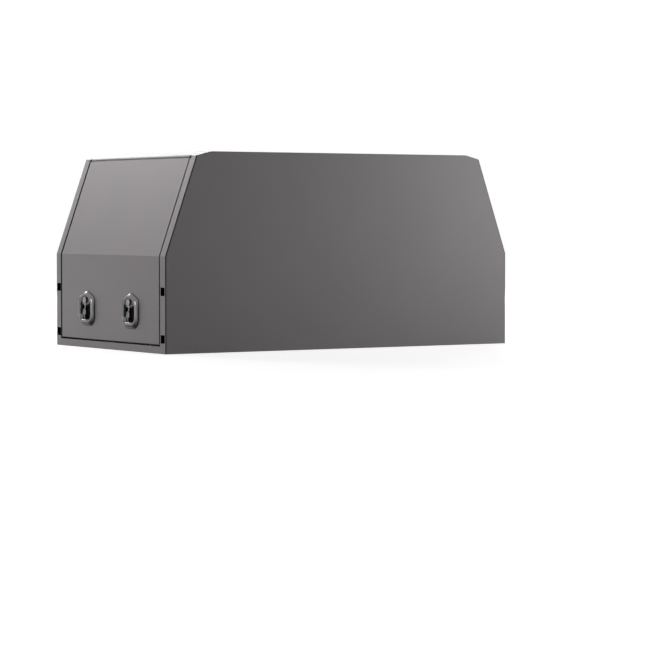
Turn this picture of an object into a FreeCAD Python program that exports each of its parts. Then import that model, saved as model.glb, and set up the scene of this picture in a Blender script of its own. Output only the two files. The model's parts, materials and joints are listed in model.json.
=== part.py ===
import FreeCAD, Part

import math
import os

# Folded sheet-metal canopy for the tray of a pickup truck, in millimetres.
# +X is the vehicle's right, +Y its front and +Z up.
# The origin is the centre of the base, on the face that rests on the tray.

# Overall form
overall_width = 1780.0
overall_length = 1000.0
overall_height = 855.0
kink_height = 412.0
shoulder_drop = 18.0
shoulder_inset = 152.0
roof_chamfer_width = 73.0

# Sheet thicknesses
skin_sheet = 3.0
frame_sheet = 2.5
stiffener_sheet = 2.0

# How far a cutting tool passes a face, or a joined piece runs into its neighbour
overlap = 1.0

# Corner posts, with two leg sockets each
post_face_width = 47.0
post_depth = 50.0
socket_width = 34.0
socket_height = 35.0
socket_wall = 2.0
lower_socket_height = 62.5
upper_socket_height = 262.5

# Base and floor
sill_height = 31.0
base_rail_width = 40.0
bearer_width = 50.0
bearer_count = 3

# Door opening: a lip behind the door carries the seal
lip_depth = 40.0
lip_width = 28.0
lip_rise = 29.0
head_rail_width = 22.0
head_rail_height = 35.0
head_lip_end = 45.0

# Doors
door_gap = 9.0
door_return_depth = 26.0
door_ring_width = 45.0
door_top_run = 9.0
door_top_bevel = 2.5
door_rib_offset = 100.0
door_rib_width = 40.0

# Seal
seal_width = 12.0
seal_setback = 6.0
seal_clearance = 0.4

# Continuous hinge
knuckle_radius = 5.0
knuckle_count = 7
knuckle_side_clearance = 0.4
hinge_pin_radius = 2.5
hinge_running_clearance = 0.06
leaf_thickness = 2.0
leaf_notch_clearance = 0.6
door_leaf_width = 35.0
roof_leaf_width = 60.0
roof_notch_clearance = 1.2

# Stiffening hats on the end panels and under the roof
hat_width = 60.0
hat_depth = 25.0
panel_hat_offset = 300.0
roof_bow_count = 3

# Latches, two on each door
latch_spacing = 400.0
latch_bottom = 97.0
latch_width = 137.0
latch_length = 155.0
latch_shoulder = 84.0
latch_apex_radius = 24.0
latch_corner_radius = 46.0
bezel_height = 15.0
bezel_taper = 11.0
bezel_rim = 6.0
bezel_chin = 8.0
cup_depth = 20.0
cup_wall = 2.0
cup_lap = 4.0
cup_clearance = 0.5
boss_radius = 50.0
boss_centre = 235.0
boss_front = 13.0
barrel_centre = 211.0
barrel_radius = 13.5
barrel_front = 16.0
keyway_width = 2.4
keyway_length = 12.0
keyway_depth = 3.0

# Fold-out handles
handle_pivot_height = 191.0
handle_pivot_front = 8.5
handle_hub_radius = 3.5
handle_hub_width = 24.0
handle_end_clearance = 0.5
handle_slot_width = 16.0
handle_slot_headroom = 1.0
handle_running_clearance = 0.06
handle_neck_width = 10.0
handle_neck_thickness = 7.0
handle_grip_width = 26.0
handle_grip_thickness = 9.0
handle_grip_front = 16.5
handle_grip_top = 173.0
handle_grip_bottom = 143.0
handle_tip_width = 9.0
handle_tip_bottom = 130.0

# Cams behind the latches, turned sideways as when unlocked
cam_spindle_size = 9.0
cam_standoff = 10.0
cam_thickness = 3.0
cam_width = 24.0
cam_length = 80.0

# Values that follow from the sizes above
half_width = overall_width / 2.0
half_length = overall_length / 2.0
panel_inner = half_length - skin_sheet
opening_half = half_length - post_face_width
door_half = opening_half - door_gap
hinge_half = door_half - skin_sheet
door_bottom = sill_height + door_gap
door_depth = door_return_depth + frame_sheet
lip_top = sill_height + lip_rise
post_centre = (panel_inner + opening_half) / 2.0

shoulder_height = overall_height - shoulder_drop
slope_x = shoulder_inset
slope_z = shoulder_height - kink_height
slope_length = math.hypot(slope_x, slope_z)
slope_dir = (slope_x / slope_length, slope_z / slope_length)
slope_in = (slope_dir[1], -slope_dir[0])
kink_tan = math.tan(math.atan2(slope_x, slope_z) / 2.0)

chamfer_x = roof_chamfer_width
chamfer_z = shoulder_drop
chamfer_length = math.hypot(chamfer_x, chamfer_z)
chamfer_dir = (chamfer_x / chamfer_length, chamfer_z / chamfer_length)
chamfer_in = (chamfer_dir[1], -chamfer_dir[0])

shoulder = (-half_width + shoulder_inset, shoulder_height)
roof_edge = (-half_width + shoulder_inset + roof_chamfer_width, overall_height)


def vec(x, y, z):
    return FreeCAD.Vector(x, y, z)


def step(point, direction, distance):
    return (point[0] + direction[0] * distance, point[1] + direction[1] * distance)


def meet(point_a, dir_a, point_b, dir_b):
    # where two lines of the cross-section cross
    cross = dir_a[0] * dir_b[1] - dir_a[1] * dir_b[0]
    gap_x = point_b[0] - point_a[0]
    gap_z = point_b[1] - point_a[1]
    along = (gap_x * dir_b[1] - gap_z * dir_b[0]) / cross
    return step(point_a, dir_a, along)


def wall_point(depth, height):
    # on the upright part of the left side, a depth inside its face
    return (-half_width + depth, height)


def kink_point(depth):
    return (-half_width + depth, kink_height - depth * kink_tan)


def slope_point(run, depth):
    # run is the distance down the slope from the shoulder
    return step(step(shoulder, slope_dir, -run), slope_in, depth)


def corner_point(depth, chamfer_depth):
    # where a line inside the slope meets a line inside the roof chamfer
    chamfer_start = step(shoulder, chamfer_in, chamfer_depth)
    return meet(slope_point(0.0, depth), slope_dir, chamfer_start, chamfer_dir)


def chamfer_point(along, depth):
    return step(step(shoulder, chamfer_dir, along), chamfer_in, depth)


def roof_inner_edge(depth):
    chamfer_start = step(shoulder, chamfer_in, depth)
    return meet(chamfer_start, chamfer_dir, (0.0, overall_height - depth), (1.0, 0.0))


def both_halves(left):
    # a whole cross-section from the points of its left half
    return left + [(-x, z) for x, z in reversed(left)]


def push(face, direction):
    # a solid whose faces point outwards, whichever way the outline ran
    solid = face.extrude(direction)
    if solid.Volume < 0.0:
        solid.reverse()
    return solid


def prism(points, y_from, y_to):
    # a cross-section outline pushed along the canopy's length
    corners = [vec(x, y_from, z) for x, z in points]
    face = Part.Face(Part.makePolygon(corners + [corners[0]]))
    return push(face, vec(0.0, y_to - y_from, 0.0))


def box(x_from, x_to, y_from, y_to, z_from, z_to):
    size = (x_to - x_from, y_to - y_from, z_to - z_from)
    return Part.makeBox(size[0], size[1], size[2], vec(x_from, y_from, z_from))


def band(near, far, low, high_run):
    # a layer of the left side, from a height on the wall to a run below the shoulder
    return [
        wall_point(near, low),
        kink_point(near),
        slope_point(high_run, near),
        slope_point(high_run, far),
        kink_point(far),
        wall_point(far, low),
    ]


def layer(near, far, low, high_run, y_from, y_to):
    return prism(band(near, far, low, high_run), y_from, y_to)


def rod(radius, start, direction, length):
    return Part.makeCylinder(radius, length, start, direction)


def to_right(shape):
    return shape.mirror(vec(0.0, 0.0, 0.0), vec(1.0, 0.0, 0.0))


def to_front(shape):
    return shape.mirror(vec(0.0, 0.0, 0.0), vec(0.0, 1.0, 0.0))


def tube(outer, inner):
    return outer.cut(inner)


def fuse_all(shapes):
    return shapes[0].multiFuse(shapes[1:]).removeSplitter()


# End panels and roof

def rear_panel():
    outline = both_halves([wall_point(0.0, 0.0), kink_point(0.0), shoulder, roof_edge])
    return prism(outline, -half_length, -panel_inner)


def roof_panel():
    left = [roof_inner_edge(skin_sheet), corner_point(0.0, skin_sheet), shoulder, roof_edge]
    sheet = prism(both_halves(left), -panel_inner, panel_inner)
    notch = hinge_notch()
    return sheet.cut(notch).cut(to_right(notch))


def hinge_notch():
    # the roof sheet stops short of the hinge knuckles
    reach = hinge_along() + knuckle_radius + roof_notch_clearance
    corners = [
        chamfer_point(reach, -skin_sheet),
        chamfer_point(reach, 2.0 * skin_sheet),
        chamfer_point(-skin_sheet, 2.0 * skin_sheet),
        chamfer_point(-skin_sheet, -skin_sheet),
    ]
    return prism(corners, -opening_half, opening_half)


def panel_hats():
    outer_from = -panel_inner
    outer_to = outer_from + hat_depth
    top = overall_height - skin_sheet
    hats = []
    for side in (-1.0, 1.0):
        centre = side * panel_hat_offset
        outer = box(centre - hat_width / 2.0, centre + hat_width / 2.0, outer_from, outer_to,
                    sill_height, top)
        inner_half = hat_width / 2.0 - stiffener_sheet
        inner = box(centre - inner_half, centre + inner_half, outer_from,
                    outer_to - stiffener_sheet, sill_height, top)
        hats.append(tube(outer, inner))
    return Part.makeCompound(hats)


def spread(count, half_span):
    pitch = 2.0 * half_span / (count + 1)
    return [-half_span + pitch * (index + 1) for index in range(count)]


def bow_block(low, y_from, y_to):
    # between the head rails, and under the roof and its chamfers
    rail_face = corner_point(lip_depth + head_rail_width, 0.0)
    ends = []
    for height in (low, overall_height - skin_sheet):
        ends.append(meet(rail_face, slope_dir, (0.0, height), (1.0, 0.0)))
    under_roof = [(-half_width, low), corner_point(0.0, skin_sheet), roof_inner_edge(skin_sheet)]
    return prism(both_halves(ends), y_from, y_to).common(
        prism(both_halves(under_roof), y_from, y_to))


def roof_bows():
    low = overall_height - skin_sheet - hat_depth
    inner_half = hat_width / 2.0 - stiffener_sheet
    bows = []
    for centre in spread(roof_bow_count, half_length):
        outer = bow_block(low, centre - hat_width / 2.0, centre + hat_width / 2.0)
        inner = bow_block(low + stiffener_sheet, centre - inner_half, centre + inner_half)
        bows.append(tube(outer, inner))
    return Part.makeCompound(bows)


# Corner posts and their sockets

def post_band(near, far, low, chamfer_depth):
    return [
        wall_point(near, low),
        kink_point(near),
        corner_point(near, chamfer_depth),
        corner_point(far, chamfer_depth),
        kink_point(far),
        wall_point(far, low),
    ]


def socket_box(height, y_half, z_half, x_from, x_to):
    return box(x_from, x_to, -post_centre - y_half, -post_centre + y_half,
               height - z_half, height + z_half)


def rear_left_post():
    outer = prism(post_band(0.0, post_depth, 0.0, skin_sheet), -panel_inner, -opening_half)
    cavity_section = post_band(frame_sheet, post_depth - frame_sheet, 0.0,
                               skin_sheet + frame_sheet)
    cavity = prism(cavity_section, -panel_inner + frame_sheet, -opening_half - frame_sheet)
    post = outer.cut(cavity)
    for height in (lower_socket_height, upper_socket_height):
        mouth = socket_box(height, socket_width / 2.0, socket_height / 2.0,
                           -half_width - overlap, -half_width + frame_sheet + overlap)
        post = post.cut(mouth)
    lip = layer(lip_depth, lip_depth + frame_sheet, lip_top, head_lip_end,
                -opening_half, -opening_half + lip_width)
    return fuse_all([post, lip])


def rear_left_sleeves():
    x_from = -half_width + frame_sheet
    x_to = -half_width + post_depth - frame_sheet
    sleeves = []
    for height in (lower_socket_height, upper_socket_height):
        outer = socket_box(height, socket_width / 2.0 + socket_wall,
                           socket_height / 2.0 + socket_wall, x_from, x_to)
        inner = socket_box(height, socket_width / 2.0, socket_height / 2.0, x_from, x_to)
        sleeves.append(tube(outer, inner))
    return sleeves


# Sills, floor and the frame under it

def left_sill():
    outer = box(-half_width, -half_width + post_depth, -opening_half, opening_half,
                0.0, sill_height)
    inner = box(-half_width + frame_sheet, -half_width + post_depth - frame_sheet,
                -opening_half, opening_half, frame_sheet, sill_height - frame_sheet)
    lip = box(-half_width + lip_depth, -half_width + lip_depth + frame_sheet,
              -opening_half, opening_half, sill_height - frame_sheet, lip_top)
    return fuse_all([tube(outer, inner), lip])


def floor_panel():
    reach = half_width - post_depth
    return box(-reach, reach, -panel_inner, panel_inner, sill_height - skin_sheet, sill_height)


def cross_tube(y_from, y_to):
    reach = half_width - post_depth
    top = sill_height - skin_sheet
    outer = box(-reach, reach, y_from, y_to, 0.0, top)
    inner = box(-reach, reach, y_from + frame_sheet, y_to - frame_sheet, frame_sheet,
                top - frame_sheet)
    return tube(outer, inner)


def rear_base_rail():
    return cross_tube(-panel_inner, -panel_inner + base_rail_width)


def base_bearers():
    bearers = []
    for centre in spread(bearer_count, half_length):
        bearers.append(cross_tube(centre - bearer_width / 2.0, centre + bearer_width / 2.0))
    return Part.makeCompound(bearers)


# Head rail over the door, tucked under the roof chamfer

def head_rail_section(inset):
    top = skin_sheet + leaf_thickness + inset
    bottom = skin_sheet + leaf_thickness + head_rail_height - inset
    near = lip_depth + inset
    far = lip_depth + head_rail_width - inset
    return [
        corner_point(near, top),
        corner_point(far, top),
        corner_point(far, bottom),
        corner_point(near, bottom),
    ]


def left_head_rail():
    outer = prism(head_rail_section(0.0), -opening_half, opening_half)
    inner = prism(head_rail_section(frame_sheet), -opening_half, opening_half)
    bottom = skin_sheet + leaf_thickness + head_rail_height
    lip_section = [
        corner_point(lip_depth, bottom - frame_sheet),
        slope_point(head_lip_end, lip_depth),
        slope_point(head_lip_end, lip_depth + frame_sheet),
        corner_point(lip_depth + frame_sheet, bottom - frame_sheet),
    ]
    lip = prism(lip_section, -opening_half, opening_half)
    return fuse_all([tube(outer, inner), lip])


# Seal round the opening, on the face of the lip

def left_door_seal():
    near = door_depth + seal_clearance
    outer_half = opening_half - lip_width + seal_setback + seal_width
    outer_low = lip_top - seal_setback - seal_width
    outer_run = head_lip_end - seal_setback - seal_width
    ring = layer(near, lip_depth, outer_low, outer_run, -outer_half, outer_half)
    window = layer(near, lip_depth, outer_low + seal_width, outer_run + seal_width,
                   -outer_half + seal_width, outer_half - seal_width)
    return ring.cut(window)


# Continuous hinge along the shoulder

def hinge_axis():
    return corner_point(knuckle_radius, knuckle_radius)


def hinge_run():
    # distance of the pin below the shoulder, measured down the slope
    axis = hinge_axis()
    return -((axis[0] - shoulder[0]) * slope_dir[0] + (axis[1] - shoulder[1]) * slope_dir[1])


def hinge_along():
    axis = hinge_axis()
    gap = (axis[0] - shoulder[0], axis[1] - shoulder[1])
    return gap[0] * chamfer_dir[0] + gap[1] * chamfer_dir[1]


def knuckle_spans(first):
    pitch = 2.0 * hinge_half / knuckle_count
    spans = []
    for index in range(first, knuckle_count, 2):
        start = -hinge_half + pitch * index
        spans.append((start + knuckle_side_clearance / 2.0,
                      start + pitch - knuckle_side_clearance / 2.0))
    return spans


def hinge_leaf(first, plate_section, tab_section):
    x, z = hinge_axis()
    plate = prism(plate_section, -hinge_half, hinge_half)
    pieces = [plate]
    for y_from, y_to in knuckle_spans(first):
        pieces.append(rod(knuckle_radius, vec(x, y_from, z), vec(0.0, 1.0, 0.0), y_to - y_from))
        pieces.append(prism(tab_section, y_from, y_to))
    bore = rod(hinge_pin_radius + hinge_running_clearance, vec(x, -half_length, z),
               vec(0.0, 1.0, 0.0), overall_length)
    return fuse_all(pieces).cut(bore)


def left_roof_leaf():
    near = skin_sheet
    far = skin_sheet + leaf_thickness
    pin_along = hinge_along()
    clear = pin_along + knuckle_radius + leaf_notch_clearance
    plate = [
        chamfer_point(clear, near),
        chamfer_point(roof_leaf_width, near),
        chamfer_point(roof_leaf_width, far),
        chamfer_point(clear, far),
    ]
    tab = [
        chamfer_point(pin_along, near),
        chamfer_point(clear + leaf_thickness, near),
        chamfer_point(clear + leaf_thickness, far),
        chamfer_point(pin_along, far),
    ]
    return hinge_leaf(0, plate, tab)


def left_door_leaf():
    near = skin_sheet
    far = skin_sheet + leaf_thickness
    pin_run = hinge_run()
    clear = pin_run + knuckle_radius + leaf_notch_clearance
    plate = [
        slope_point(clear, near),
        slope_point(door_leaf_width, near),
        slope_point(door_leaf_width, far),
        slope_point(clear, far),
    ]
    tab = [
        slope_point(pin_run, near),
        slope_point(clear + leaf_thickness, near),
        slope_point(clear + leaf_thickness, far),
        slope_point(pin_run, far),
    ]
    return hinge_leaf(1, plate, tab)


def left_hinge_pin():
    x, z = hinge_axis()
    return rod(hinge_pin_radius, vec(x, -hinge_half, z), vec(0.0, 1.0, 0.0), 2.0 * hinge_half)


# Door: a folded pan, an inner ring that closes its edges, and two ribs

def left_door_skin():
    block = layer(0.0, door_return_depth, door_bottom, door_top_run, -door_half, door_half)
    hollow = layer(skin_sheet, door_return_depth + overlap, door_bottom + skin_sheet,
                   door_top_run - overlap, -hinge_half, hinge_half)
    pan = block.cut(hollow)
    bevel = prism([
        slope_point(door_top_run - overlap, -overlap),
        slope_point(door_top_run + door_top_bevel + overlap, -overlap),
        slope_point(door_top_run - overlap, door_top_bevel + overlap),
    ], -door_half - overlap, door_half + overlap)
    pan = pan.cut(bevel)
    side_top = prism([
        slope_point(door_top_run - overlap, skin_sheet),
        slope_point(ring_top_run(), skin_sheet),
        slope_point(ring_top_run(), door_return_depth + overlap),
        slope_point(door_top_run - overlap, door_return_depth + overlap),
    ], -door_half - overlap, door_half + overlap)
    pan = pan.cut(side_top)
    for centre in (-latch_spacing / 2.0, latch_spacing / 2.0):
        mouth = cup_prism(centre, cup_inset() - cup_clearance, -overlap, skin_sheet + overlap)
        pan = pan.cut(mouth)
    return pan


def ring_top_run():
    # the ring starts below the hinge knuckles
    return door_top_run + skin_sheet


def left_door_inner_frame():
    top = ring_top_run()
    plate = layer(door_return_depth, door_depth, door_bottom, top, -door_half, door_half)
    window_half = door_half - door_ring_width
    window_low = door_bottom + door_ring_width
    window_run = top + door_ring_width
    wall_half = window_half + frame_sheet
    walls = layer(skin_sheet, door_return_depth, window_low - frame_sheet,
                  window_run - frame_sheet, -wall_half, wall_half)
    window = layer(skin_sheet - overlap, door_depth + overlap, window_low, window_run,
                   -window_half, window_half)
    head = prism([
        slope_point(top, skin_sheet + leaf_thickness),
        slope_point(top + frame_sheet, skin_sheet + leaf_thickness),
        slope_point(top + frame_sheet, door_return_depth),
        slope_point(top, door_return_depth),
    ], -hinge_half, hinge_half)
    return fuse_all([plate, walls, head]).cut(window)


def left_door_ribs():
    low = door_bottom + door_ring_width
    run = ring_top_run() + door_ring_width
    ribs = []
    for centre in (-door_rib_offset, door_rib_offset):
        half = door_rib_width / 2.0
        outer = layer(skin_sheet, door_return_depth, low, run, centre - half, centre + half)
        inner = layer(skin_sheet - overlap, door_return_depth - stiffener_sheet, low - overlap,
                      run - overlap, centre - half + stiffener_sheet,
                      centre + half - stiffener_sheet)
        ribs.append(outer.cut(inner))
    return Part.makeCompound(ribs)


# Latches: pear-shaped bezel, cup, lock barrel, fold-out handle and cam

def latch_places(inset, chin):
    # (y, z) along the right half of the outline drawn a distance inside the bezel's foot,
    # with its lower end raised by a chin
    half = latch_width / 2.0 - inset
    low = latch_bottom + inset + chin
    arch_low = latch_bottom + latch_shoulder
    apex_radius = latch_apex_radius - inset
    corner_radius = latch_corner_radius - inset
    apex_centre = latch_bottom + latch_length - latch_apex_radius
    rise = apex_centre - arch_low
    full_half = latch_width / 2.0
    side_radius = (rise * rise / (full_half - latch_apex_radius)
                   + full_half + latch_apex_radius) / 2.0
    side_centre = full_half - side_radius
    side_radius -= inset
    join_angle = math.atan2(rise, -side_centre)
    bend = corner_radius * math.sqrt(0.5)
    return {
        "foot": (half - corner_radius, low),
        "corner": (half - corner_radius + bend, low + corner_radius - bend),
        "side_low": (half, low + corner_radius),
        "side_high": (half, arch_low),
        "side_mid": (side_centre + math.cos(join_angle / 2.0) * side_radius,
                     arch_low + math.sin(join_angle / 2.0) * side_radius),
        "join": (side_centre + math.cos(join_angle) * side_radius,
                 arch_low + math.sin(join_angle) * side_radius),
        "apex": (0.0, apex_centre + apex_radius),
    }


def latch_wire(centre, inset, chin, x):
    # the round outline, on a plane across X
    places = latch_places(inset, chin)

    def right(name):
        return vec(x, centre + places[name][0], places[name][1])

    def left(name):
        return vec(x, centre - places[name][0], places[name][1])

    edges = [
        Part.LineSegment(left("foot"), right("foot")),
        Part.Arc(right("foot"), right("corner"), right("side_low")),
        Part.LineSegment(right("side_low"), right("side_high")),
        Part.Arc(right("side_high"), right("side_mid"), right("join")),
        Part.Arc(right("join"), right("apex"), left("join")),
        Part.Arc(left("join"), left("side_mid"), left("side_high")),
        Part.LineSegment(left("side_high"), left("side_low")),
        Part.Arc(left("side_low"), left("corner"), left("foot")),
    ]
    return Part.Wire([edge.toShape() for edge in edges])


def cup_prism(centre, inset, depth_from, depth_to):
    # the same outline with flat sides; depths are measured inwards from the door's face
    places = latch_places(inset, bezel_chin)
    x = -half_width + depth_from
    names = ["foot", "corner", "side_low", "side_high", "side_mid"]
    right = [vec(x, centre + places[name][0], places[name][1]) for name in names]
    left = [vec(x, centre - places[name][0], places[name][1]) for name in reversed(names)]
    top = vec(x, centre, places["apex"][1])
    corners = right + [top] + left
    face = Part.Face(Part.makePolygon(corners + [corners[0]]))
    return push(face, vec(depth_to - depth_from, 0.0, 0.0))


def recess_inset():
    return bezel_taper + bezel_rim


def cup_inset():
    return recess_inset() - cup_lap


def latch_bezel(centre):
    foot = latch_wire(centre, 0.0, 0.0, -half_width)
    rim = latch_wire(centre, bezel_taper, 0.0, -half_width - bezel_height)
    crown = Part.makeLoft([foot, rim], True, True)
    recess_wire = latch_wire(centre, recess_inset(), bezel_chin,
                             -half_width - bezel_height - overlap)
    recess = push(Part.Face(recess_wire), vec(bezel_height + 2.0 * overlap, 0.0, 0.0))
    return crown.cut(recess)


def latch_cup(centre):
    outer = cup_prism(centre, cup_inset(), 0.0, cup_depth + cup_wall)
    inner = cup_prism(centre, cup_inset() + cup_wall, -overlap, cup_depth)
    return outer.cut(inner)


def latch_barrel(centre):
    seat = cup_prism(centre, recess_inset() + cup_clearance, -boss_front, cup_depth)
    disc = rod(boss_radius, vec(-half_width - boss_front, centre, boss_centre),
               vec(1.0, 0.0, 0.0), boss_front + cup_depth)
    boss = seat.common(disc)
    lock = rod(barrel_radius, vec(-half_width - barrel_front, centre, barrel_centre),
               vec(1.0, 0.0, 0.0), barrel_front + cup_depth)
    body = boss.fuse(lock).removeSplitter()
    keyway = box(-half_width - barrel_front, -half_width - barrel_front + keyway_depth,
                 centre - keyway_width / 2.0, centre + keyway_width / 2.0,
                 barrel_centre - keyway_length / 2.0, barrel_centre + keyway_length / 2.0)
    slot_half = handle_slot_width / 2.0
    slot_back = -half_width - handle_pivot_front + handle_hub_radius + handle_slot_headroom
    slot_top = handle_pivot_height + handle_hub_radius + handle_slot_headroom
    slot = box(-half_width - barrel_front - overlap, slot_back, centre - slot_half,
               centre + slot_half, boss_centre - boss_radius - overlap, slot_top)
    bore_length = handle_hub_width + 2.0 * handle_end_clearance
    bore = rod(handle_hub_radius + handle_running_clearance,
               vec(-half_width - handle_pivot_front, centre - bore_length / 2.0,
                   handle_pivot_height), vec(0.0, 1.0, 0.0), bore_length)
    return body.cut(keyway).cut(slot).cut(bore)


def latch_handle(centre):
    x = -half_width - handle_pivot_front
    hub = rod(handle_hub_radius, vec(x, centre - handle_hub_width / 2.0, handle_pivot_height),
              vec(0.0, 1.0, 0.0), handle_hub_width)
    half_neck = handle_neck_width / 2.0
    neck = box(x - handle_neck_thickness / 2.0, x + handle_neck_thickness / 2.0,
               centre - half_neck, centre + half_neck, handle_grip_top - overlap,
               handle_pivot_height)
    half_grip = handle_grip_width / 2.0
    half_tip = handle_tip_width / 2.0
    bevel = half_grip - half_neck
    outline = [
        (half_neck, handle_grip_top),
        (half_grip, handle_grip_top - bevel),
        (half_grip, handle_grip_bottom + bevel),
        (half_tip, handle_grip_bottom),
        (half_tip, handle_tip_bottom),
    ]
    outline += [(-y, z) for y, z in reversed(outline)]
    front = -half_width - handle_grip_front
    corners = [vec(front, centre + y, z) for y, z in outline]
    grip_face = Part.Face(Part.makePolygon(corners + [corners[0]]))
    grip = push(grip_face, vec(handle_grip_thickness, 0.0, 0.0))
    return fuse_all([hub, neck, grip])


def latch_cam(centre):
    side = 1.0 if centre > 0.0 else -1.0
    start = -half_width + cup_depth + cup_wall
    half_spindle = cam_spindle_size / 2.0
    spindle = box(start, start + cam_standoff, centre - half_spindle, centre + half_spindle,
                  barrel_centre - half_spindle, barrel_centre + half_spindle)
    near = centre - side * cam_width / 2.0
    far = centre + side * cam_length
    plate = box(start + cam_standoff, start + cam_standoff + cam_thickness, min(near, far),
                max(near, far), barrel_centre - cam_width / 2.0, barrel_centre + cam_width / 2.0)
    return fuse_all([spindle, plate])


def both_latches(maker):
    return Part.makeCompound([maker(-latch_spacing / 2.0), maker(latch_spacing / 2.0)])


# Every piece by name

def build_pieces():
    rear = rear_panel()
    post = rear_left_post()
    sleeves = rear_left_sleeves()
    left_sleeves = Part.makeCompound(sleeves + [to_front(sleeve) for sleeve in sleeves])
    hats = panel_hats()
    rail = rear_base_rail()
    pieces = {
        "floor_panel": floor_panel(),
        "base_bearers": base_bearers(),
        "rear_base_rail": rail,
        "front_base_rail": to_front(rail),
        "rear_left_post": post,
        "rear_right_post": to_right(post),
        "front_left_post": to_front(post),
        "front_right_post": to_right(to_front(post)),
        "left_leg_sockets": left_sleeves,
        "right_leg_sockets": to_right(left_sleeves),
        "rear_panel": rear,
        "front_panel": to_front(rear),
        "rear_panel_stiffeners": hats,
        "front_panel_stiffeners": to_front(hats),
        "roof_panel": roof_panel(),
        "roof_bows": roof_bows(),
        "left_rear_latch_handle": latch_handle(-latch_spacing / 2.0),
        "left_front_latch_handle": latch_handle(latch_spacing / 2.0),
        "right_latch_handles": to_right(both_latches(latch_handle)),
    }
    sided = {
        "sill": left_sill(),
        "head_rail": left_head_rail(),
        "door_seal": left_door_seal(),
        "hinge_roof_leaf": left_roof_leaf(),
        "hinge_door_leaf": left_door_leaf(),
        "hinge_pin": left_hinge_pin(),
        "door_skin": left_door_skin(),
        "door_inner_frame": left_door_inner_frame(),
        "door_ribs": left_door_ribs(),
        "latch_bezels": both_latches(latch_bezel),
        "latch_cups": both_latches(latch_cup),
        "latch_barrels": both_latches(latch_barrel),
        "latch_cams": both_latches(latch_cam),
    }
    for name, shape in sided.items():
        pieces["left_" + name] = shape
        pieces["right_" + name] = to_right(shape)
    return pieces


def write_pieces():
    os.makedirs("parts", exist_ok=True)
    volume = 0.0
    for name, shape in build_pieces().items():
        shape.exportStep("parts/" + name + ".step")
        volume += shape.Volume
        print(name, len(shape.Solids), "solid(s)", round(shape.Volume / 1000.0, 1), "cm3")
    axis = hinge_axis()
    print("hinge axis", round(axis[0], 3), round(axis[1], 3))
    print("volume", round(volume / 1e6, 3), "litres")


write_pieces()
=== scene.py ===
import json
import math

import bmesh
import bpy
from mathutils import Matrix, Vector


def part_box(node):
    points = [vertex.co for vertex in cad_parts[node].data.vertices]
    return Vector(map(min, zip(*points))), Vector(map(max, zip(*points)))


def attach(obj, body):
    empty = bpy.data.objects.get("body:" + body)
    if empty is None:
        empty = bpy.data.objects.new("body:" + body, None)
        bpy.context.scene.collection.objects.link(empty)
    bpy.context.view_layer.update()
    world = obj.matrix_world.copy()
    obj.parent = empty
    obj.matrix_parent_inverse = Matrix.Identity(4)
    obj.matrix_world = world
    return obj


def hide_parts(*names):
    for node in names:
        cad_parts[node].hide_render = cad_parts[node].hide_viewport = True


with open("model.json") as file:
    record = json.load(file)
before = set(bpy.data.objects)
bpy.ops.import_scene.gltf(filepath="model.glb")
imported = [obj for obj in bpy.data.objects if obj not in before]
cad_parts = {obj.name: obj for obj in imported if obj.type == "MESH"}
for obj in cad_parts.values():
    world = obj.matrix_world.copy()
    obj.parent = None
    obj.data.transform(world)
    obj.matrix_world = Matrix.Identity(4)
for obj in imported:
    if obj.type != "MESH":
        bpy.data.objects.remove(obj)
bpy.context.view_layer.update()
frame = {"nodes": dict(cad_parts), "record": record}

# Sheet-metal tray canopy: camera, light and finishes, with the folded edges, latches, seals
# and sealant dressed over the frame. Lengths are metres unless a name says mm.

mm = 0.001

# Sizes read from the frame
panelLow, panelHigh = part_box("rear_panel")
sealLow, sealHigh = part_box("left_door_seal")
halfWidth = panelHigh.x
halfLength = -panelLow.y
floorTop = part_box("floor_panel")[1].z
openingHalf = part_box("left_sill")[1].y
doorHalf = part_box("left_door_skin")[1].y

# The left half of the cross-section: foot, kink, shoulder and roof edge
sideOutline = sorted({(round(v.co.x, 5), round(v.co.z, 5))
                      for v in frame["nodes"]["rear_panel"].data.vertices if v.co.x < 0.0},
                     key=lambda point: point[1])
kink, shoulder, roofEdge = (Vector(point) for point in sideOutline[1:4])
slopeDir = (shoulder - kink).normalized()
slopeIn = Vector((slopeDir.y, -slopeDir.x))
kinkTan = math.tan(math.atan2(slopeDir.x, slopeDir.y) / 2.0)
chamferDir = (roofEdge - shoulder).normalized()

seamWidth = 4.2 * mm  # the end panels' side edges stop this much short, for sealant

bodyOfNode = {nodeName: body for body, names in frame["record"]["behaviour"]["bodies"].items()
              for nodeName in names}


# Points of the left cross-section

def wallPoint(depth, height):
    return Vector((-halfWidth + depth, height))


def kinkPoint(depth):
    return Vector((-halfWidth + depth, kink.y - depth * kinkTan))


def slopePoint(run, depth):
    # run is measured down the slope from the shoulder
    return shoulder - slopeDir * run + slopeIn * depth


def shoulderPoint(depth):
    # on the roof chamfer's line, a depth inside the slope
    across = abs(chamferDir.x * slopeDir.y - chamferDir.y * slopeDir.x)
    return shoulder + chamferDir * (depth / across)


# Shader helpers

noiseMiddle = (0.3, 0.7)


def newMaterial(name):
    material = bpy.data.materials.new(name)
    material.use_nodes = True
    tree = material.node_tree
    shader = tree.nodes["Principled BSDF"]
    return material, tree, shader


def objectCoords(tree, scale=(1.0, 1.0, 1.0)):
    coords = tree.nodes.new("ShaderNodeTexCoord")
    mapping = tree.nodes.new("ShaderNodeMapping")
    mapping.inputs["Scale"].default_value = scale
    tree.links.new(coords.outputs["Object"], mapping.inputs["Vector"])
    return mapping.outputs["Vector"]


def noiseAt(tree, vector, scale, detail=2.0):
    noise = tree.nodes.new("ShaderNodeTexNoise")
    noise.inputs["Scale"].default_value = scale
    noise.inputs["Detail"].default_value = detail
    tree.links.new(vector, noise.inputs["Vector"])
    return noise.outputs["Fac"]


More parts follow.
